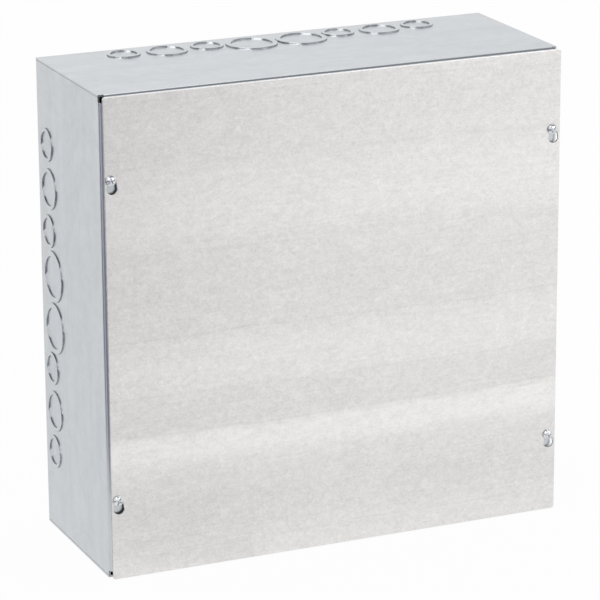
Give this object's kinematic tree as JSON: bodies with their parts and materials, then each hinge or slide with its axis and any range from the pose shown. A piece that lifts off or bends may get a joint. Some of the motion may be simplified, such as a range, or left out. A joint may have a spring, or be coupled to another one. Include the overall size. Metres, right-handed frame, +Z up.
{
  "type": "electrical enclosure",
  "caption": "Shallow square galvanised steel pull box with pipe knockouts in its side walls and a flat front cover held by corner-side screws in keyholes.",
  "frame": {"origin": "Bottom centre of the whole enclosure at rest, screw heads and raised knockouts included.", "axes": "+X to the right of someone facing the cover, +Y from the cover towards the back (the mounting side), +Z up."},
  "size_m": [0.4088, 0.1592, 0.4088],
  "materials": {
    "galvanised_box": "hot-dip galvanised sheet, satin, with faint grain along the rolling direction",
    "galvanised_cover": "hot-dip galvanised sheet, satin, finely mottled with soft horizontal bands",
    "zinc_screw": "bright zinc-plated steel"
  },
  "bodies": {
    "box": {"box_body": "galvanised_box"},
    "cover": {"cover": "galvanised_cover"},
    "screw_top_left": {"cover_screw_top_left": "zinc_screw"},
    "screw_top_right": {"cover_screw_top_right": "zinc_screw"},
    "screw_bottom_left": {"cover_screw_bottom_left": "zinc_screw"},
    "screw_bottom_right": {"cover_screw_bottom_right": "zinc_screw"}
  },
  "joints": [
    {"name": "cover_lift", "type": "slide", "parent": "box", "child": "cover", "axis": [0, 0, 1], "range_m": [0, 0.009]},
    {"name": "screw_top_left_out", "type": "slide", "parent": "box", "child": "screw_top_left", "axis": [0, -1, 0], "range_m": [0, 0.008]},
    {"name": "screw_top_right_out", "type": "slide", "parent": "box", "child": "screw_top_right", "axis": [0, -1, 0], "range_m": [0, 0.008]},
    {"name": "screw_bottom_left_out", "type": "slide", "parent": "box", "child": "screw_bottom_left", "axis": [0, -1, 0], "range_m": [0, 0.008]},
    {"name": "screw_bottom_right_out", "type": "slide", "parent": "box", "child": "screw_bottom_right", "axis": [0, -1, 0], "range_m": [0, 0.008]}
  ]
}
